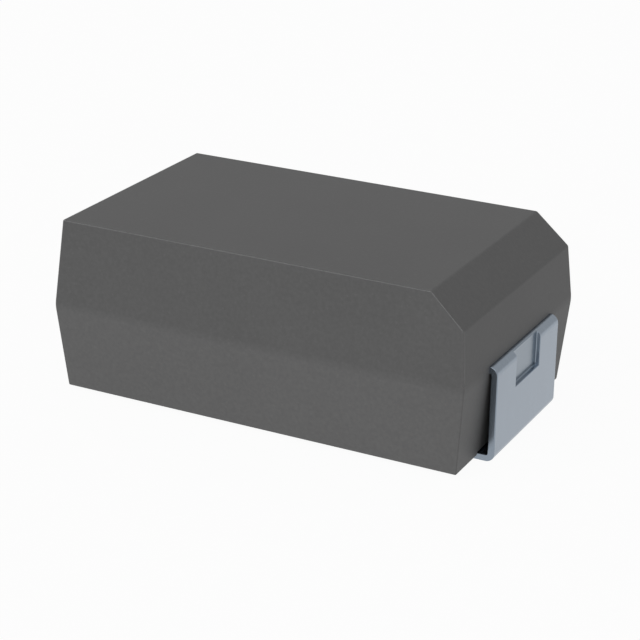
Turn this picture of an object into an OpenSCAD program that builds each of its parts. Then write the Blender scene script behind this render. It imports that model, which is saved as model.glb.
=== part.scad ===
// Moulded tantalum chip capacitor, 7343-31 size, for surface mounting.
// +X points to the anode end, which has the polarity bevel. Z = 0 is the board that both feet stand on,
// and the origin is the middle of that footprint. All sizes are in millimetres.

/* [Case] */
// Length of the moulded case at its parting line
case_l = 7.02; // [6.9:0.01:7.6]
// Width of the moulded case at its parting line
case_w = 4.3; // [4:0.05:5]
// Height of the moulded case from its underside to its top
case_h = 2.8; // [2.7:0.05:3.4]
// Height of the parting line above the underside of the case
parting_h = 1.4; // [1.3:0.05:1.6]
// Draft of every side wall, away from the parting line
draft_angle = 5; // [2:0.5:8]
// Radius that blends the upper and lower drafts at the parting line
parting_blend_r = 1; // [0.3:0.1:2]
// Height of the polarity bevel on the anode end, and its depth along the top
bevel = 0.5; // [0.2:0.05:0.7]
// Gap between the board and the underside of the case
standoff = 0.08; // [0.02:0.01:0.1]
// Thickness of epoxy between the cathode end and the cathode cradle, at the parting line
end_wall = 0.5; // [0.3:0.05:0.7]
// Thickness of epoxy beside the silver coat, at the parting line
side_wall = 0.46; // [0.3:0.02:0.7]

/* [Leads] */
// Width of each lead outside the case
lead_w = 2.44; // [2:0.02:2.8]
// Thickness of the lead-frame strip
lead_t = 0.11; // [0.1:0.01:0.15]
// Clearance from the end of the case, at its parting line, to the leg of a lead
leg_gap = 0.03; // [0.01:0.01:0.1]
// Inside radius of the bends outside the case
bend_r = 0.03; // [0.02:0.01:0.1]
// Length of each foot, measured from the outside of the leg
foot_l = 1.3; // [0.8:0.05:1.6]
// Clearance around a foot in its moulded recess
foot_clearance = 0.02; // [0.01:0.01:0.05]

/* [Lead notch] */
// Width of the coined notch at the top of each leg
notch_w = 0.95; // [0.6:0.05:1.4]
// Height of the lower edge of the notch above the board
notch_z = 0.96; // [0.7:0.02:1.2]
// Depth of the notch into the strip
notch_depth = 0.07; // [0.03:0.01:0.08]

/* [Anode lead inside] */
// Length of the weld tab inside the case, from the end of the case at its parting line
tab_l = 0.95; // [0.7:0.05:1.1]
// Width of the weld tab at its tip
tab_tip_w = 1.2; // [0.8:0.05:1.6]
// Radius of the half-round notches that lock a lead in the epoxy
lock_r = 0.2; // [0.1:0.05:0.25]

/* [Cathode lead inside] */
// Width of the cradle that carries the pellet
cradle_w = 2.2; // [1.8:0.05:2.4]
// Length of the cradle's floor under the pellet
cradle_l = 3; // [2:0.1:3.6]
// Inside radius of the bends of the cradle
cradle_bend_r = 0.06; // [0.03:0.01:0.1]

/* [Tantalum element] */
// Height of the sintered pellet; its length and width follow from the case
pellet_h = 1.45; // [1.2:0.05:1.5]
// Radius of the pellet's long edges
pellet_edge_r = 0.25; // [0.1:0.05:0.4]
// Diameter of the tantalum riser wire
wire_d = 0.3; // [0.24:0.02:0.4]
// Length of wire that is pressed and sintered into the pellet
wire_embed = 2; // [1:0.1:3]
// Length of bare wire between the washer and the weld tab
bare_wire_l = 0.63; // [0.4:0.01:0.9]
// Length of wire that lies welded on the tab
weld_l = 0.6; // [0.3:0.05:0.6]
// Depth of the flat that welding presses into the wire
weld_flat = 0.04; // [0.02:0.01:0.06]
// Diameter of the washer that seals the wire's way out of the pellet
washer_d = 0.95; // [0.7:0.05:1.1]
// Thickness of the washer
washer_t = 0.2; // [0.1:0.02:0.3]

/* [Coats and adhesive] */
// Thickness of the manganese dioxide crust outside the pellet
dioxide_t = 0.03; // [0.02:0.01:0.04]
// Thickness of the graphite coat
graphite_t = 0.02; // [0.02:0.01:0.03]
// Thickness of the silver coat
silver_t = 0.04; // [0.02:0.01:0.05]
// Bare margin of the graphite coat at the wire end of the pellet
graphite_margin = 0.15; // [0.1:0.05:0.3]
// Bare margin of the silver coat at the wire end of the pellet
silver_margin = 0.3; // [0.2:0.05:0.5]
// Thickness of the silver adhesive between the silver coat and the cradle
adhesive_t = 0.04; // [0.03:0.01:0.05]
// Distance from the edges of the cradle to the adhesive
adhesive_margin = 0.15; // [0.05:0.05:0.3]
// Height of the adhesive's rise against the end of the pellet
adhesive_rise = 0.5; // [0.3:0.05:0.55]

/* [Hidden] */

$fn = 64;
// Overshoot of a cutting shape past the surface that it cuts
over = 1;

// Case, above the board
case_bottom = standoff;
parting_z = case_bottom + parting_h;
case_top = case_bottom + case_h;

// Leads: the strip lies on the parting line, half of it above and half below
leg_x = case_l / 2 + leg_gap + lead_t;
bend_out_r = bend_r + lead_t;
strip_top = parting_z + lead_t / 2;
strip_bottom = parting_z - lead_t / 2;

// Element: the wire lies on the strip, the pellet is centred on the wire and fills the room in the case
wire_z = strip_top + wire_d / 2 - weld_flat;
tab_x = case_l / 2 - tab_l;
wire_x1 = tab_x + weld_l;
coats_t = dioxide_t + graphite_t + silver_t;
cradle_x = -case_l / 2 + end_wall;
cradle_top = wire_z - pellet_h / 2 - coats_t - adhesive_t;
pellet_x0 = cradle_x + lead_t + adhesive_t + coats_t;
pellet_x1 = tab_x - bare_wire_l - washer_t;
pellet_w = case_w - 2 * (side_wall + coats_t);

epoxy = "#5f5f5f";
tinned = "#a3a5ad";

// ---- Shared forms ----

// Extrudes a side view, drawn in X and Z, to a width centred on Y = 0
module side_view(width)
    rotate([90, 0, 0])
        linear_extrude(height = width, center = true)
            children();

// Quarter ring of strip about a centre; turn = 0 opens towards +X and +Z
module strip_bend(centre, inside_r, turn)
    translate(centre)
        rotate(turn)
            intersection() {
                difference() {
                    circle(r = inside_r + lead_t);
                    circle(r = inside_r);
                }
                square(inside_r + lead_t);
            }

// Rectangle from one corner to the opposite one
module span(low, high)
    translate(low)
        square(high - low);

// Round-edged bar along X, centred on the wire, grown by a coat's thickness on its four long sides
module element_bar(x0, x1, grow) {
    half_w = pellet_w / 2 + grow;
    half_h = pellet_h / 2 + grow;
    r = pellet_edge_r + grow;
    translate([x0, 0, wire_z])
        rotate([90, 0, 90])
            linear_extrude(height = x1 - x0) {
                span([-half_w + r, -half_h], [half_w - r, half_h]);
                span([-half_w, -half_h + r], [half_w, half_h - r]);
                for (y = [-1, 1], z = [-1, 1])
                    translate([y * (half_w - r), z * (half_h - r)])
                        circle(r = r);
            }
}

// Round rod along X at the height of the wire
module rod(x0, x1, d)
    translate([x0, 0, wire_z])
        rotate([0, 90, 0])
            cylinder(h = x1 - x0, d = d);

// ---- Case ----

// Height of each half of the blend at the parting line
blend_h = parting_blend_r * sin(draft_angle);
// Depth that the drafted walls cut into the blend, so that wall and blend cross instead of only touching
blend_bite = 0.0001;
// How far a wall has drawn in at a height above or below the parting line
function draw_in(h) =
    parting_blend_r * (1 - cos(draft_angle)) + (h - blend_h) * tan(draft_angle) + blend_bite;

// Upright outline of the case for one half size: two drafts that meet in a rounded parting line
module case_outline(half)
    difference() {
        polygon([
            [-half + draw_in(parting_h), case_bottom], [half - draw_in(parting_h), case_bottom],
            [half - draw_in(0), parting_z],
            [half - draw_in(case_h - parting_h), case_top], [-half + draw_in(case_h - parting_h), case_top],
            [-half + draw_in(0), parting_z]
        ]);
        for (turn = [0, 180])
            translate([0, parting_z])
                rotate(turn)
                    parting_ridge(half);
    }

// Sharp ridge that the blend takes off the parting line
module parting_ridge(half)
    difference() {
        translate([half - parting_blend_r, -blend_h])
            square([parting_blend_r + over, 2 * blend_h]);
        translate([half - parting_blend_r, 0])
            circle(r = parting_blend_r);
    }

// Corner that the polarity bevel takes off the anode end, from the top down to the end wall
module bevel_cut() {
    high = [case_l / 2 - draw_in(case_h - parting_h) - bevel, case_top];
    low = [case_l / 2 - draw_in(case_h - parting_h - bevel), case_top - bevel];
    slope = low - high;
    polygon([high - slope, low + slope, [low.x + slope.x, high.y - slope.y]]);
}

// Solid block of epoxy before anything is moulded into it
module case_block()
    intersection() {
        side_view(case_w + over)
            difference() {
                case_outline(case_l / 2);
                bevel_cut();
            }
        rotate([90, 0, 90])
            linear_extrude(height = case_l + over, center = true)
                case_outline(case_w / 2);
    }

// Recess in the underside of the anode end, for the foot of its lead
module foot_recess()
    side_view(lead_w + 2 * foot_clearance)
        span([leg_x - foot_l - foot_clearance, -over], [leg_x + over, lead_t + foot_clearance]);

module moulded_case()
    color(epoxy)
        difference() {
            case_block();
            foot_recess();
            mirror([1, 0, 0])
                foot_recess();
            anode_lead();
            cathode_lead();
            bond_room();
            element_room();
        }

// Room that the coated pellet, the washer and the wire take up in the epoxy
module element_room() {
    element_bar(pellet_x0 - dioxide_t, pellet_x1 + dioxide_t, dioxide_t);
    element_bar(pellet_x0 - dioxide_t - graphite_t, pellet_x1 - graphite_margin, dioxide_t + graphite_t);
    silver_bar();
    rod(pellet_x1, pellet_x1 + washer_t, washer_d);
    rod(pellet_x1, wire_x1, wire_d);
}

// ---- Leads ----

// Side view of the lead outside the case: shoulder, bend, leg, bend and foot
module outer_lead_view() {
    bend_x = leg_x - bend_out_r;
    span([case_l / 2 - lead_t, strip_bottom], [bend_x, strip_top]);
    strip_bend([bend_x, strip_top - bend_out_r], bend_r, 0);
    span([leg_x - lead_t, bend_out_r], [leg_x, strip_top - bend_out_r]);
    strip_bend([bend_x, bend_out_r], bend_r, -90);
    span([leg_x - foot_l, 0], [bend_x, lead_t]);
}

// Lead outside the case, with the coined notch at the top of its leg
module outer_lead()
    difference() {
        side_view(lead_w)
            outer_lead_view();
        translate([leg_x - notch_depth, -notch_w / 2, notch_z])
            cube([notch_depth + over, notch_w, strip_top - notch_z + over]);
    }

module anode_lead()
    color(tinned) {
        outer_lead();
        weld_tab();
    }

// Flat tab inside the case, tapered towards its tip and locked by two half-round notches
module weld_tab() {
    root_x = case_l / 2;
    lock_x = root_x - 2 * lead_t - lock_r;
    translate([0, 0, strip_bottom])
        linear_extrude(height = lead_t)
            difference() {
                polygon([
                    [root_x, -lead_w / 2], [lock_x - lock_r, -lead_w / 2], [tab_x, -tab_tip_w / 2],
                    [tab_x, tab_tip_w / 2], [lock_x - lock_r, lead_w / 2], [root_x, lead_w / 2]
                ]);
                for (y = [-1, 1])
                    translate([lock_x, y * lead_w / 2])
                        circle(r = lock_r);
            }
}

module cathode_lead()
    color(tinned) {
        mirror([1, 0, 0])
            outer_lead();
        cradle();
    }

// Strip that steps down behind the pellet and runs on beneath it
module cradle() {
    cradle_bend_out_r = cradle_bend_r + lead_t;
    upper_x = cradle_x + lead_t - cradle_bend_out_r;
    floor_x = cradle_x + cradle_bend_out_r;
    side_view(cradle_w) {
        span([-case_l / 2, strip_bottom], [upper_x, strip_top]);
        strip_bend([upper_x, strip_top - cradle_bend_out_r], cradle_bend_r, 0);
        span([cradle_x, cradle_top - lead_t + cradle_bend_out_r],
            [cradle_x + lead_t, strip_top - cradle_bend_out_r]);
        strip_bend([floor_x, cradle_top - lead_t + cradle_bend_out_r], cradle_bend_r, 180);
        span([floor_x, cradle_top - lead_t], [cradle_x + cradle_l, cradle_top]);
    }
}

// ---- Tantalum element ----

module tantalum_pellet()
    color("#4a4d52")
        difference() {
            element_bar(pellet_x0, pellet_x1, 0);
            rod(pellet_x1 - wire_embed, pellet_x1 + over, wire_d);
        }

// Riser wire, pressed flat where it is welded to the tab
module tantalum_wire()
    color("#8d9197")
        difference() {
            rod(pellet_x1 - wire_embed, wire_x1, wire_d);
            translate([tab_x, -wire_d, strip_top - wire_d])
                cube([weld_l + over, 2 * wire_d, wire_d]);
        }

module wire_washer()
    color("#f0efe9")
        difference() {
            rod(pellet_x1, pellet_x1 + washer_t, washer_d);
            rod(pellet_x1 - over, pellet_x1 + washer_t + over, wire_d);
        }

// Crust over all six faces of the pellet, open only where the washer sits
module manganese_dioxide_crust()
    color("#2b2a2c")
        difference() {
            element_bar(pellet_x0 - dioxide_t, pellet_x1 + dioxide_t, dioxide_t);
            element_bar(pellet_x0, pellet_x1, 0);
            rod(pellet_x1 - over, pellet_x1 + over, washer_d);
        }

// Coat over five faces, which stops short of the wire end by a margin
module open_coat(inner_t, coat_t, margin)
    difference() {
        element_bar(pellet_x0 - inner_t - coat_t, pellet_x1 - margin, inner_t + coat_t);
        element_bar(pellet_x0 - inner_t, pellet_x1 + over, inner_t);
    }

module graphite_coat()
    color("#38393b")
        open_coat(dioxide_t, graphite_t, graphite_margin);

module silver_coat()
    color("#b9bbbd")
        open_coat(dioxide_t + graphite_t, silver_t, silver_margin);

// Solid bar with the outside of the silver coat
module silver_bar()
    element_bar(pellet_x0 - coats_t, pellet_x1 - silver_margin, coats_t);

// Corner between the cradle and the silver coat, which reaches into both of them
module bond_room() {
    sink = lead_t / 4;
    bond_x0 = cradle_x + lead_t - sink;
    bond_z0 = cradle_top - sink;
    side_view(cradle_w - 2 * adhesive_margin) {
        span([bond_x0, bond_z0],
            [cradle_x + cradle_l - adhesive_margin, cradle_top + adhesive_t + sink]);
        span([bond_x0, bond_z0],
            [cradle_x + lead_t + adhesive_t + sink, cradle_top + adhesive_rise]);
    }
}

// Bond that fills what the cradle and the silver coat leave of that corner
module silver_adhesive()
    color("#a8a9a6")
        difference() {
            bond_room();
            cradle();
            silver_bar();
        }

moulded_case();
anode_lead();
cathode_lead();
tantalum_pellet();
tantalum_wire();
wire_washer();
manganese_dioxide_crust();
graphite_coat();
silver_coat();
silver_adhesive();
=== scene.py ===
from math import cos, pi, radians, sin, sqrt, tan

import bmesh
import bpy
from mathutils import Matrix, Vector


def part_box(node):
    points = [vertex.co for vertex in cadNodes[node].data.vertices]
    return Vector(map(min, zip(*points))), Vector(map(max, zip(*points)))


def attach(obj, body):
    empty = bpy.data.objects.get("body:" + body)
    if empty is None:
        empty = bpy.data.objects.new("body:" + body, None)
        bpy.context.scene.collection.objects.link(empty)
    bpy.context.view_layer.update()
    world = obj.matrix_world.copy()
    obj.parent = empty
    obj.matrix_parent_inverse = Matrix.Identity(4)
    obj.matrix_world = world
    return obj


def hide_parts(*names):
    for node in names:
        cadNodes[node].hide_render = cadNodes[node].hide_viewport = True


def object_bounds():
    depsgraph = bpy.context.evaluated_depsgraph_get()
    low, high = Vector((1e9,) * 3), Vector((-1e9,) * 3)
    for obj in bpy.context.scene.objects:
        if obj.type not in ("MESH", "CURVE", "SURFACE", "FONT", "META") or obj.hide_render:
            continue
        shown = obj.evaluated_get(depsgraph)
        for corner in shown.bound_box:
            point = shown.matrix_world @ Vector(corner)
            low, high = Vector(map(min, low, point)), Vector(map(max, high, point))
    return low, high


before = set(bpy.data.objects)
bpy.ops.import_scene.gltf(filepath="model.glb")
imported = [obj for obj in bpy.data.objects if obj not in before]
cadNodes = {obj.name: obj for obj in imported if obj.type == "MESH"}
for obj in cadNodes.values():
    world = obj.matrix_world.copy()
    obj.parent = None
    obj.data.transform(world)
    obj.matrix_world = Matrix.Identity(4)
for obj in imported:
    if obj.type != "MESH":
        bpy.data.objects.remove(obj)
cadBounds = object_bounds()
mm = 0.001  # sizes below are in millimetres, meshes are in metres
noiseSpread = (0.3, 0.7)  # nearly all of what a noise texture gives lies between these
print("frame loaded:", len(cadNodes), "nodes")


def boxInMm(node):
    low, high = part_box(node)
    return low / mm, high / mm


def linearColor(hexColor):
    # sRGB hex to the linear values that shaders and lamps take
    channels = [int(hexColor[i:i + 2], 16) / 255 for i in (1, 3, 5)]
    return [c / 12.92 if c <= 0.04045 else ((c + 0.055) / 1.055) ** 2.4 for c in channels] + [1.0]


def addNode(tree, kind, settings=None, links=None):
    # settings and links go by the name or number of an input, or by the name of a property
    node = tree.nodes.new(kind)
    for key, value in (settings or {}).items():
        if isinstance(key, int) or key in node.inputs:
            node.inputs[key].default_value = value
        else:
            setattr(node, key, value)
    for key, socket in (links or {}).items():
        tree.links.new(socket, node.inputs[key])
    return node


def newMaterial(name):
    material = bpy.data.materials.new(name)
    material.use_nodes = True
    material.node_tree.nodes.clear()
    return material, material.node_tree


def finishSurface(tree, settings, links):
    shader = addNode(tree, "ShaderNodeBsdfPrincipled", settings, links)
    addNode(tree, "ShaderNodeOutputMaterial", links={"Surface": shader.outputs["BSDF"]})


def toneRamp(tree, value, spread, dark, pale):
    ramp = addNode(tree, "ShaderNodeValToRGB", links={"Fac": value})
    first, last = ramp.color_ramp.elements
    first.position, last.position = spread
    first.color, last.color = linearColor(dark), linearColor(pale)
    return ramp.outputs["Color"]


# Silica-filled epoxy, transfer moulded in a spark-eroded cavity: neutral dark grey and dull all over,
# with an even fine grain, and here and there a paler grain of filler that lies just under the skin.
# Handling rubs the long upper edges smooth, so that they catch the light as thin pale lines. Below the
# parting line the case is painted a shade paler. This is painted light, standing in for the light the floor
# throws up onto the walls that lean down.
epoxyFinish = {
    "dark": "#505050",
    "pale": "#5a5a5a",
    # painted light: the lower half's tones are paler to stand in for light thrown up from the floor
    "paintedLitLowerDark": "#5a5a5a",
    "paintedLitLowerPale": "#646464",
    "partingBlend": 0.16,        # mm over which one half passes into the other
    "grain": 0.06,               # mm, craters that spark erosion leaves in the mould
    "filler": 0.12,              # mm from one large grain of silica to the next
    "fillerFade": (0.08, 0.2),   # how far from its middle such a grain starts to fade and is gone
    "fillerTone": 0.25,          # how much its middle adds to the tone
    "cloud": 1.6,                # mm, slow change of tone where the compound flowed
    "cloudTone": 0.3,            # what it counts for beside the grain
    "toneSpread": (0.45, 0.95),  # where the ramp starts and ends
    "relief": 0.0016,            # mm from pit to peak
    "roughness": 0.6,
    "edgeRoughness": 0.2,
    "roughnessSpread": 0.03,
    "ior": 1.55,
}


def silicaFilledEpoxy(name, roughness, f=epoxyFinish):
    material, tree = newMaterial(name)
    place = addNode(tree, "ShaderNodeTexCoord").outputs["Object"]
    grain = addNode(tree, "ShaderNodeTexNoise", {"Scale": 1 / (f["grain"] * mm), "Detail": 3.0},
                    {"Vector": place}).outputs["Fac"]
    cloud = addNode(tree, "ShaderNodeTexNoise", {"Scale": 1 / (f["cloud"] * mm), "Detail": 2.0},
                    {"Vector": place}).outputs["Fac"]
    filler = addNode(tree, "ShaderNodeTexVoronoi", {"Scale": 1 / (f["filler"] * mm)}, {"Vector": place})
    speck = addNode(tree, "ShaderNodeMapRange",
                    {"From Min": f["fillerFade"][0], "From Max": f["fillerFade"][1],
                     "To Min": f["fillerTone"], "To Max": 0.0},
                    {"Value": filler.outputs["Distance"]}).outputs["Result"]
    grainAndCloud = addNode(tree, "ShaderNodeMath", {"operation": "MULTIPLY_ADD", 1: f["cloudTone"]},
                            {0: cloud, 2: grain}).outputs["Value"]
    tone = addNode(tree, "ShaderNodeMath", {"operation": "ADD"},
                   {0: grainAndCloud, 1: speck}).outputs["Value"]
    upper = toneRamp(tree, tone, f["toneSpread"], f["dark"], f["pale"])
    # painted light: the lower half's ramp is paler, standing in for the floor's light on the walls that
    # lean down
    lower = toneRamp(tree, tone, f["toneSpread"], f["paintedLitLowerDark"], f["paintedLitLowerPale"])
    height = addNode(tree, "ShaderNodeSeparateXYZ", links={"Vector": place}).outputs["Z"]
    half = addNode(tree, "ShaderNodeMapRange",
                   {"From Min": (case["partingHeight"] - f["partingBlend"] / 2) * mm,
                    "From Max": (case["partingHeight"] + f["partingBlend"] / 2) * mm},
                   {"Value": height}).outputs["Result"]
    # inputs 6 and 7 and output 2 are this node's colours
    color = addNode(tree, "ShaderNodeMix", {"data_type": "RGBA"}, {0: half, 6: lower, 7: upper})
    dullness = addNode(tree, "ShaderNodeMapRange",
                       {"From Min": noiseSpread[0], "From Max": noiseSpread[1],
                        "To Min": roughness - f["roughnessSpread"],
                        "To Max": roughness + f["roughnessSpread"]},
                       {"Value": grain}).outputs["Result"]
    relief = addNode(tree, "ShaderNodeBump", {"Distance": f["relief"] * mm}, {"Height": grain})
    finishSurface(tree, {"IOR": f["ior"]},
                  {"Base Color": color.outputs[2], "Roughness": dullness,
                   "Normal": relief.outputs["Normal"]})
    return material


# Nickel-iron strip, plated with matte tin: a bluish grey metal with soft reflections and faint streaks
# along the way it was rolled. The floor of the coined notch is drawn a shade darker than the face around
# it.
tinFinish = {
    "dark": "#8a949f",
    "pale": "#909aa5",
    "coinedDark": "#7e8892",
    "coinedPale": "#848e98",
    "streakLength": 0.9,       # mm along the strip
    "streakWidth": 0.04,       # mm across it; rolling lines are finer and are drawn coarser to show
    "crystal": 0.02,           # mm, grains of the plating, drawn coarser than the real few thousandths
    "crystalTone": 0.4,        # what they count for beside the streaks
    "toneSpread": (0.5, 0.9),  # where the ramp starts and ends
    "relief": 0.0001,          # mm
    "roughness": 0.25,
    "roughnessSpread": 0.02,
}


def matteTin(name, dark, pale, f=tinFinish):
    material, tree = newMaterial(name)
    place = addNode(tree, "ShaderNodeTexCoord").outputs["Object"]
    # the strip runs in X and Z however it is folded, so streaks are fine in Y alone
    rolled = addNode(tree, "ShaderNodeMapping",
                     {"Scale": (1 / (f["streakLength"] * mm), 1 / (f["streakWidth"] * mm),
                                1 / (f["streakLength"] * mm))}, {"Vector": place}).outputs["Vector"]
    streaks = addNode(tree, "ShaderNodeTexNoise", {"Scale": 1.0, "Detail": 2.0},
                      {"Vector": rolled}).outputs["Fac"]
    crystals = addNode(tree, "ShaderNodeTexNoise", {"Scale": 1 / (f["crystal"] * mm), "Detail": 2.0},
                       {"Vector": place}).outputs["Fac"]
    tone = addNode(tree, "ShaderNodeMath", {"operation": "MULTIPLY_ADD", 1: f["crystalTone"]},
                   {0: crystals, 2: streaks}).outputs["Value"]
    color = toneRamp(tree, tone, f["toneSpread"], dark, pale)
    softness = addNode(tree, "ShaderNodeMapRange",
                       {"From Min": noiseSpread[0], "From Max": noiseSpread[1],
                        "To Min": f["roughness"] - f["roughnessSpread"],
                        "To Max": f["roughness"] + f["roughnessSpread"]},
                       {"Value": streaks}).outputs["Result"]
    relief = addNode(tree, "ShaderNodeBump", {"Distance": f["relief"] * mm}, {"Height": tone})
    finishSurface(tree, {"Metallic": 1.0},
                  {"Base Color": color, "Roughness": softness, "Normal": relief.outputs["Normal"]})
    return material


elementToneSpread = (0.35, 0.65)  # where their ramps start and end

# What the epoxy seals in. The grain is in mm, and so is the relief from pit to peak.
elementFinishes = {
    # tantalum powder, pressed and sintered: dark grey, porous, with a dull metal glint
    "tantalum_pellet": {"name": "sinteredTantalum", "dark": "#33363a", "pale": "#5d6268",
                        "metallic": 0.6, "roughness": 0.62, "grain": 0.05, "relief": 0.006},
    # tantalum wire, drawn: blue-grey and satin, with die lines along it
    "tantalum_wire": {"name": "drawnTantalumWire", "dark": "#7d8188", "pale": "#989ca3",
                      "metallic": 1.0, "roughness": 0.36, "grain": 0.02, "relief": 0.0006, "stretch": 20},
    # fluoropolymer film, punched: white, smooth and waxy
    "wire_washer": {"name": "punchedFluoropolymer", "dark": "#e4e3dd", "pale": "#f1f0ea",
                    "metallic": 0.0, "roughness": 0.42, "grain": 0.09, "relief": 0.0008},
    # manganese dioxide, baked on in many dips: black, dull and crusty
    "manganese_dioxide_crust": {"name": "bakedManganeseDioxide", "dark": "#1f1d1e", "pale": "#353234",
                                "metallic": 0.0, "roughness": 0.82, "grain": 0.04, "relief": 0.008},
    # graphite, dipped and dried: dark grey with a slight sheen
    "graphite_coat": {"name": "dippedGraphite", "dark": "#303133", "pale": "#444547",
                      "metallic": 0.25, "roughness": 0.5, "grain": 0.06, "relief": 0.003},
    # silver flakes in resin, dipped and cured: pale grey and satin
    "silver_coat": {"name": "dippedSilverPaint", "dark": "#a9abac", "pale": "#c8caca",
                    "metallic": 0.7, "roughness": 0.45, "grain": 0.05, "relief": 0.003},
    # silver-filled epoxy, dispensed and cured: duller and a little warmer than the paint
    "silver_adhesive": {"name": "curedSilverEpoxy", "dark": "#979792", "pale": "#b4b4ae",
                        "metallic": 0.55, "roughness": 0.55, "grain": 0.07, "relief": 0.004},
}


def elementFinish(f):
    material, tree = newMaterial(f["name"])
    place = addNode(tree, "ShaderNodeTexCoord").outputs["Object"]
    scale = 1 / (f["grain"] * mm)
    drawn = addNode(tree, "ShaderNodeMapping", {"Scale": (scale / f.get("stretch", 1), scale, scale)},
                    {"Vector": place}).outputs["Vector"]
    grain = addNode(tree, "ShaderNodeTexNoise", {"Scale": 1.0, "Detail": 4.0},
                    {"Vector": drawn}).outputs["Fac"]
    color = toneRamp(tree, grain, elementToneSpread, f["dark"], f["pale"])
    relief = addNode(tree, "ShaderNodeBump", {"Distance": f["relief"] * mm}, {"Height": grain})
    finishSurface(tree, {"Metallic": f["metallic"], "Roughness": f["roughness"]},
                  {"Base Color": color, "Normal": relief.outputs["Normal"]})
    return material


def objectFrom(name, bm):
    mesh = bpy.data.meshes.new(name)
    bm.to_mesh(mesh)
    bm.free()
    return bpy.data.objects.new(name, mesh)


crispAngle = 35  # degrees; an edge that turns by more stays crisp


def makePiece(name, bm, materials):
    # smooth shading that keeps the large faces flat, then millimetres to metres; the order matters, because
    # Weighted Normal gives up on areas as small as these are in square metres
    bmesh.ops.recalc_face_normals(bm, faces=bm.faces)
    for face in bm.faces:
        face.smooth = True
    draft = objectFrom(name + "Draft", bm)
    for material in materials:
        draft.data.materials.append(material)
    draft.data.set_sharp_from_angle(angle=radians(crispAngle))
    draft.modifiers.new("flatFaces", "WEIGHTED_NORMAL").keep_sharp = True
    bpy.context.scene.collection.objects.link(draft)
    mesh = bpy.data.meshes.new_from_object(draft.evaluated_get(bpy.context.evaluated_depsgraph_get()))
    bpy.data.objects.remove(draft)
    mesh.name = name
    mesh.transform(Matrix.Scale(mm, 4))
    piece = bpy.data.objects.new(name, mesh)
    bpy.context.scene.collection.objects.link(piece)
    return piece


def settle(piece, node):
    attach(piece, "root")
    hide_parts(node)


strip = {
    "thickness": 0.11,
    "bendInside": 0.03,      # inside radius of the bends outside the case
    "bendSteps": 15,
    "footLength": 1.3,
    "edgeRadius": 0.014,     # stamped edges, softened by the plating
    "edgeSteps": 4,
    "notchWidth": 0.95,      # coined notch at the top of each leg
    "notchLow": 0.96,        # height of its lower edge above the board
    "notchDepth": 0.07,
    "notchLip": 0.012,       # radius where the punch drew the face in
    "notchLean": 0.003,      # draft of its wall
    "notchFillet": 0.016,    # radius where the wall meets the floor
    "notchSteps": 4,
    "coinedDepth": 0.088,    # a face that lies deeper than this is the back of the leg
    "tabLength": 0.95,
    "tabTipWidth": 1.2,
    "lockRadius": 0.2,       # half-round notches that lock the tab in the epoxy
    "lockSteps": 12,
    "cradleWidth": 2.2,
    "cradleLength": 3.0,
    "cradleBend": 0.06,      # inside radius
    "cradleWall": 0.5,       # epoxy behind the cradle
    "shoulderRun": 0.001,    # over which the cradle's width steps out to the lead's
    "samePlace": 1e-6,       # points closer than this are one
}

case = {
    "partingHeight": 1.48,   # above the board
    "draft": 5,              # degrees, away from the parting line
    "blendRadius": 1.0,      # rounds the parting line
    "blendSteps": 10,
    "polarityBevel": 0.5,
    "footClearance": 0.02,   # round each foot in its recess
    "recessReach": 1,        # how far the block that cuts a recess stands out of the case
    "roundedAngle": 25,      # degrees; an edge that stands out by more is rounded
    "edgeRadius": 0.025,
    "edgeSteps": 4,
    "rubbedLean": 0.1,       # a rounded edge that faces up and sideways by more is rubbed
}


def drawIn(height):
    # how far a wall has drawn in at a height above or below the parting line
    radius, draft = case["blendRadius"], radians(case["draft"])
    if height < radius * sin(draft):
        return radius - sqrt(radius ** 2 - height ** 2)
    return radius * (1 - cos(draft)) + (height - radius * sin(draft)) * tan(draft)


def draftedBlock(low, high):
    # rings of four corners, close together where the two drafts blend
    parting, radius, draft = case["partingHeight"], case["blendRadius"], radians(case["draft"])
    turns = [draft * (2 * i / case["blendSteps"] - 1) for i in range(case["blendSteps"] + 1)]
    heights = [low.z] + [parting + radius * sin(turn) for turn in turns] + [high.z]
    bm = bmesh.new()
    rings = []
    for z in heights:
        x, y = high.x - drawIn(abs(z - parting)), high.y - drawIn(abs(z - parting))
        rings.append([bm.verts.new(corner) for corner in ((x, y, z), (-x, y, z), (-x, -y, z), (x, -y, z))])
    for lower, upper in zip(rings, rings[1:]):
        for i in range(4):
            bm.faces.new((lower[i], lower[i - 1], upper[i - 1], upper[i]))
    bm.faces.new(rings[0])
    bm.faces.new(rings[-1])
    bmesh.ops.recalc_face_normals(bm, faces=bm.faces)
    return bm


def cutPolarityBevel(bm, high):
    # one flat cut from the top down to the wall of the anode end
    size, parting = case["polarityBevel"], case["partingHeight"]
    top = Vector((high.x - drawIn(high.z - parting) - size, 0, high.z))
    foot = Vector((high.x - drawIn(high.z - parting - size), 0, high.z - size))
    slope = foot - top
    bmesh.ops.bisect_plane(bm, geom=bm.verts[:] + bm.edges[:] + bm.faces[:], plane_co=top,
                           plane_no=(-slope.z, 0, slope.x), clear_outer=True)
    bmesh.ops.holes_fill(bm, edges=[edge for edge in bm.edges if edge.is_boundary], sides=0)


def footRecess(side, leadHigh):
    # block that keeps the room for one foot in the underside
    gap, reach = case["footClearance"], case["recessReach"]
    inner, outer = leadHigh.x - strip["footLength"] - gap, leadHigh.x + reach
    size = Vector((outer - inner, 2 * (leadHigh.y + gap), reach + strip["thickness"] + gap))
    place = Vector((side * (inner + outer) / 2, 0, (strip["thickness"] + gap - reach) / 2))
    bm = bmesh.new()
    bmesh.ops.create_cube(bm, size=1, matrix=Matrix.Translation(place) @ Matrix.Diagonal((*size, 1)))
    return bm


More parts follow.
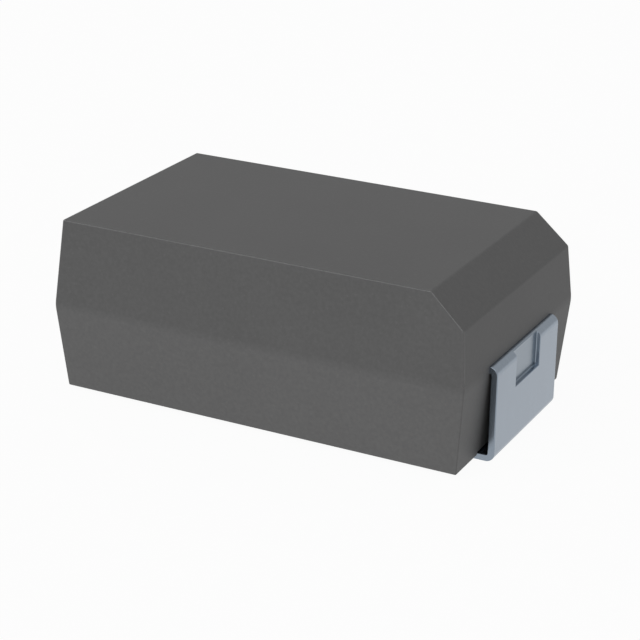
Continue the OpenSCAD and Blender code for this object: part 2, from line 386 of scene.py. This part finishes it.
def cutOut(bm, cutters):
    # takes the cutters out of the block and hands back its mesh
    block = objectFrom("block", bm)
    bpy.context.scene.collection.objects.link(block)
    group = bpy.data.collections.new("cutters")
    bpy.context.scene.collection.children.link(group)
    for cutter in cutters:
        group.objects.link(cutter)
    cut = block.modifiers.new("cut", "BOOLEAN")
    cut.operand_type = "COLLECTION"
    cut.collection = group
    cut.solver = "EXACT"
    result = bmesh.new()
    result.from_object(block, bpy.context.evaluated_depsgraph_get())
    for item in [block] + cutters:
        bpy.data.objects.remove(item)
    bpy.data.collections.remove(group)
    return result


def roundEdges(bm):
    # the small radius that a mould leaves on every edge that stands out
    edges = [edge for edge in bm.edges if edge.calc_face_angle_signed() > radians(case["roundedAngle"])]
    rounded = bmesh.ops.bevel(bm, geom=edges, offset=case["edgeRadius"], offset_type="OFFSET",
                              segments=case["edgeSteps"], profile=0.5, affect="EDGES", clamp_overlap=False)
    bm.normal_update()
    for face in rounded["faces"]:
        if face.normal.z > case["rubbedLean"] and abs(face.normal.y) > case["rubbedLean"]:
            face.material_index = 1  # along the top of the two long walls and beside the bevel


def buildCase():
    low, high = boxInMm("moulded_case")
    leadHigh = boxInMm("anode_lead")[1]
    bm = draftedBlock(low, high)
    cutPolarityBevel(bm, high)
    bm = cutOut(bm, [objectFrom("recess", footRecess(side, leadHigh)) for side in (1, -1)])
    roundEdges(bm)
    return makePiece("epoxyCase", bm,
                     [silicaFilledEpoxy("silicaFilledEpoxyMoulded", epoxyFinish["roughness"]),
                      silicaFilledEpoxy("silicaFilledEpoxyRubbedEdge", epoxyFinish["edgeRoughness"])])


settle(buildCase(), "moulded_case")
print("case moulded")


def quarter(steps):
    return [pi / 2 * i / steps for i in range(steps + 1)]


def notchProfile():
    # (way in from the edge of the notch, depth): lip, leaning wall, then fillet down to the floor
    lip, lean = strip["notchLip"], strip["notchLean"]
    fillet, depth = strip["notchFillet"], strip["notchDepth"]
    arc = quarter(strip["notchSteps"])
    wall = [(lip * sin(a) - lip, lip - lip * cos(a)) for a in arc]
    return wall + [(lean + fillet - fillet * cos(a), depth - fillet + fillet * sin(a)) for a in arc]


def notchDepthAt(way, profile):
    if way <= profile[0][0]:
        return 0
    for (way0, depth0), (way1, depth1) in zip(profile, profile[1:]):
        if way < way1:
            return depth0 + (depth1 - depth0) * (way - way0) / (way1 - way0)
    return profile[-1][1]


def runOn(path, stops):
    # straight on, with a station at each (distance, half width)
    x, z, heading = path[-1][:3]
    for distance, halfWidth in stops:
        path.append((x + distance * cos(heading), z + distance * sin(heading), heading, halfWidth))


def bend(path, angle, inside):
    # folds the strip to the right for a positive angle and to the left for a negative one
    x, z, heading, width = path[-1]
    radius = (inside + strip["thickness"] / 2) * (1 if angle > 0 else -1)
    centreX, centreZ = x + radius * sin(heading), z - radius * cos(heading)
    for i in range(1, strip["bendSteps"] + 1):
        turned = heading - radians(angle) * i / strip["bendSteps"]
        path.append((centreX - radius * sin(turned), centreZ + radius * cos(turned), turned, width))


def outsidePath(path, faceX, halfWidth):
    # out to the first bend, down the leg with its notch, and back in along the foot
    inside, thickness = strip["bendInside"], strip["thickness"]
    path.append((faceX - thickness - inside, path[-1][1], 0, halfWidth))
    bend(path, 90, inside)
    top = path[-1][1]
    stops = sorted(top - strip["notchLow"] - way for way, depth in notchProfile())
    runOn(path, [(stop, halfWidth) for stop in stops + [top - thickness - inside]])
    bend(path, 90, inside)
    runOn(path, [(path[-1][0] - faceX + strip["footLength"], halfWidth)])
    return path


def anodePath(caseEnd, faceX, halfWidth):
    # from the tip of the weld tab: taper, locking notches, full width
    tab, lock = strip["tabLength"], strip["lockRadius"]
    lockAt = tab - 2 * strip["thickness"] - lock
    path = [(caseEnd - tab, case["partingHeight"], 0, strip["tabTipWidth"] / 2)]
    turns = [pi * i / strip["lockSteps"] for i in range(strip["lockSteps"] + 1)]
    runOn(path, [(lockAt - lock * cos(turn), halfWidth - lock * sin(turn)) for turn in turns])
    return outsidePath(path, faceX, halfWidth)


def cathodePath(caseEnd, faceX, halfWidth):
    # from the front of the cradle's floor: floor, riser, shoulder, full width
    narrow, thickness, inside = strip["cradleWidth"] / 2, strip["thickness"], strip["cradleBend"]
    riserX = caseEnd - strip["cradleWall"] - thickness / 2
    floorZ = boxInMm("silver_adhesive")[0].z - thickness / 2
    turn = inside + thickness / 2
    startX = riserX + thickness / 2 - strip["cradleLength"]
    path = [(startX, floorZ, 0, narrow)]
    runOn(path, [(riserX - turn - startX, narrow)])
    bend(path, -90, inside)
    runOn(path, [(case["partingHeight"] - turn - path[-1][1], narrow)])
    bend(path, 90, inside)
    step = caseEnd - thickness
    path += [(step - strip["shoulderRun"], path[-1][1], 0, narrow), (step, path[-1][1], 0, halfWidth)]
    return outsidePath(path, faceX, halfWidth)


def sectionPoints(halfWidth, inset, columns):
    # (Y, height over the middle of the strip), once round the strip's rounded section
    half = strip["thickness"] / 2 - inset
    width = halfWidth - inset
    r = strip["edgeRadius"] - inset
    arc = quarter(strip["edgeSteps"])
    points = [(-width + r - r * cos(a), half - r + r * sin(a)) for a in arc]
    points += [(y, half) for y in columns]
    points += [(width - r + r * sin(a), half - r + r * cos(a)) for a in arc]
    points += [(width - r + r * cos(a), -half + r - r * sin(a)) for a in arc]
    points += [(-width + r - r * sin(a), -half + r - r * cos(a)) for a in arc]
    return points


def stripRing(station, inset, faceX, columns, profile):
    # the section at one station, with the notch coined into what faces out of the leg
    x, z, heading, halfWidth = station
    ring = []
    for y, height in sectionPoints(halfWidth, inset, columns):
        pointX, pointZ = x - height * sin(heading), z + height * cos(heading)
        if height > 0:
            depth = min(notchDepthAt(strip["notchWidth"] / 2 - abs(y), profile),
                        notchDepthAt(pointZ - strip["notchLow"], profile))
            pointX = min(pointX, faceX - depth)
        ring.append((pointX, y, pointZ))
    return ring


def roundedEnds(path):
    # stations with their insets; the first and the last few round off the cut ends
    radius = strip["edgeRadius"]
    ends = [(radius * (1 - cos(a)), radius * (1 - sin(a))) for a in quarter(strip["edgeSteps"])]

    def moved(station, along):
        x, z, heading, halfWidth = station
        return x + along * cos(heading), z + along * sin(heading), heading, halfWidth

    return ([(moved(path[0], along), inset) for along, inset in ends]
            + [(station, 0) for station in path[1:-1]]
            + [(moved(path[-1], -along), inset) for along, inset in reversed(ends)])


def buildLead(name, path, faceX, side, materials):
    # sweeps the section along the path; side is 1 at the anode end and -1 at the cathode end
    profile = notchProfile()
    columns = sorted(sign * (strip["notchWidth"] / 2 - way) for sign in (-1, 1) for way, depth in profile)
    bm = bmesh.new()
    rings = []
    for station, inset in roundedEnds(path):
        ring = stripRing(station, inset, faceX, columns, profile)
        rings.append([bm.verts.new((side * x, y, z)) for x, y, z in ring])
    for ring, following in zip(rings, rings[1:]):
        for i in range(len(ring)):
            bm.faces.new((ring[i - 1], ring[i], following[i], following[i - 1]))
    bm.faces.new(rings[0])
    bm.faces.new(rings[-1])
    bmesh.ops.remove_doubles(bm, verts=bm.verts, dist=strip["samePlace"])
    for face in bm.faces:
        middle = face.calc_center_median()
        inNotch = abs(middle.y) < strip["notchWidth"] / 2 and middle.z > strip["notchLow"]
        depth = faceX - abs(middle.x)
        if inNotch and strip["notchDepth"] - strip["notchFillet"] / 2 < depth < strip["coinedDepth"]:
            face.material_index = 1  # the floor of the notch
    return makePiece(name, bm, materials)


def buildLeads():
    caseEnd = boxInMm("moulded_case")[1].x
    leadHigh = boxInMm("anode_lead")[1]
    tin = [matteTin("matteTinOnNickelIron", tinFinish["dark"], tinFinish["pale"]),
           matteTin("matteTinCoined", tinFinish["coinedDark"], tinFinish["coinedPale"])]
    for name, node, path, side in (("anodeLead", "anode_lead", anodePath, 1),
                                   ("cathodeLead", "cathode_lead", cathodePath, -1)):
        lead = buildLead(name, path(caseEnd, leadHigh.x, leadHigh.y), leadHigh.x, side, tin)
        settle(lead, node)


buildLeads()
print("leads folded")

for node, finish in elementFinishes.items():
    cadNodes[node].data.materials.clear()
    cadNodes[node].data.materials.append(elementFinish(finish))
print("element finished:", len(elementFinishes), "nodes")


studio = {
    "floorSize": 2000,        # mm
    "floorDark": "#ececec",
    "floorPale": "#f4f4f4",
    "floorFibre": 0.5,        # mm
    "floorGlow": 0.95,        # share of plain white in what the camera and shiny surfaces see of it
    "floorDrop": 0.002,       # mm, so that the feet and the floor don't lie in one plane
    "surround": 0.38,         # light from all round
    "surroundShine": 0.71,    # what shiny surfaces see of it; the camera sees white
    "lampDistance": 400,      # mm
}

lamps = {
    # azimuth in degrees from the front towards the anode end, sizes in mm, power in watts
    "frontBank": {"azimuth": -7, "elevation": 41, "width": 600, "height": 200, "power": 0.83},
}


def whiteFloor():
    # white paper, which the camera and shiny surfaces see as plain white with the part's shadow on it
    material, tree = newMaterial("whitePaperFloor")
    place = addNode(tree, "ShaderNodeTexCoord").outputs["Object"]
    fibre = addNode(tree, "ShaderNodeTexNoise", {"Scale": 1 / (studio["floorFibre"] * mm), "Detail": 3.0},
                    {"Vector": place})
    color = toneRamp(tree, fibre.outputs["Fac"], noiseSpread, studio["floorDark"], studio["floorPale"])
    paper = addNode(tree, "ShaderNodeBsdfDiffuse", links={"Color": color})
    glow = addNode(tree, "ShaderNodeEmission", {"Strength": 1.0})
    path = addNode(tree, "ShaderNodeLightPath")
    seen = path.outputs["Is Camera Ray"]
    for ray in ("Is Glossy Ray", "Is Transmission Ray"):
        seen = addNode(tree, "ShaderNodeMath", {"operation": "MAXIMUM"}, {0: seen, 1: path.outputs[ray]})
        seen = seen.outputs["Value"]
    share = addNode(tree, "ShaderNodeMath", {"operation": "MULTIPLY", 1: studio["floorGlow"]},
                    {0: seen}).outputs["Value"]
    mixed = addNode(tree, "ShaderNodeMixShader",
                    links={0: share, 1: paper.outputs["BSDF"], 2: glow.outputs["Emission"]})
    addNode(tree, "ShaderNodeOutputMaterial", links={"Surface": mixed.outputs["Shader"]})
    return material


def layFloor():
    bm = bmesh.new()
    bmesh.ops.create_grid(bm, x_segments=1, y_segments=1, size=studio["floorSize"] * mm / 2)
    floor = objectFrom("floor", bm)
    floor.location.z = cadBounds[0].z - studio["floorDrop"] * mm
    floor.data.materials.append(whiteFloor())
    bpy.context.scene.collection.objects.link(floor)


def directionTo(azimuth, elevation):
    azimuth, elevation = radians(azimuth), radians(elevation)
    return Vector((sin(azimuth) * cos(elevation), -cos(azimuth) * cos(elevation), sin(elevation)))


def hangLamps():
    for name, setting in lamps.items():
        lamp = bpy.data.lights.new(name, "AREA")
        lamp.shape = "RECTANGLE"
        lamp.size, lamp.size_y = setting["width"] * mm, setting["height"] * mm
        lamp.energy = setting["power"]
        holder = bpy.data.objects.new(name, lamp)
        direction = directionTo(setting["azimuth"], setting["elevation"])
        holder.location = direction * studio["lampDistance"] * mm
        holder.rotation_euler = direction.to_track_quat("Z", "Y").to_euler()
        bpy.context.scene.collection.objects.link(holder)


def lightSurround():
    # even grey all round; the camera sees it as white and shiny surfaces as a paler grey
    world = bpy.data.worlds.new("studioSurround")
    world.use_nodes = True
    tree = world.node_tree
    tree.nodes.clear()
    path = addNode(tree, "ShaderNodeLightPath")
    even, shine = studio["surround"], studio["surroundShine"]
    strength = addNode(tree, "ShaderNodeMath", {"operation": "MULTIPLY_ADD", 1: 1 - even, 2: even},
                       {0: path.outputs["Is Camera Ray"]}).outputs["Value"]
    for ray in ("Is Glossy Ray", "Is Transmission Ray"):
        strength = addNode(tree, "ShaderNodeMath", {"operation": "MULTIPLY_ADD", 1: shine - even},
                           {0: path.outputs[ray], 2: strength}).outputs["Value"]
    light = addNode(tree, "ShaderNodeBackground", {"Color": linearColor("#ffffff")}, {"Strength": strength})
    addNode(tree, "ShaderNodeOutputWorld", links={"Surface": light.outputs["Background"]})
    bpy.context.scene.world = world


layFloor()
hangLamps()
lightSurround()
bpy.context.scene.view_settings.view_transform = "Standard"
print("studio set")


cameraSetting = {
    "azimuth": 27.160,       # degrees from the front towards the anode end
    "elevation": 21.917,
    "roll": 0.797,
    "distance": 32.303,      # mm
    "aside": 0.0884,         # mm, so that the part stands where it should in the frame
    "above": 1.0708,
    "lens": 112.262,
    "nearest": 1.0,          # mm, how near it still sees
}


def placeCamera(c=cameraSetting):
    back = directionTo(c["azimuth"], c["elevation"])
    level = Vector((0, 0, 1)).cross(back).normalized()
    upright = back.cross(level)
    roll = radians(c["roll"])
    right = cos(roll) * level + sin(roll) * upright
    up = cos(roll) * upright - sin(roll) * level
    lens = bpy.data.cameras.new("studioCamera")
    lens.lens = c["lens"]
    lens.clip_start = c["nearest"] * mm
    camera = bpy.data.objects.new("studioCamera", lens)
    place = (c["aside"] * right + c["above"] * up + c["distance"] * back) * mm
    camera.matrix_world = Matrix.Translation(place) @ Matrix((right, up, back)).transposed().to_4x4()
    bpy.context.scene.collection.objects.link(camera)
    bpy.context.scene.camera = camera


placeCamera()
print("camera placed")
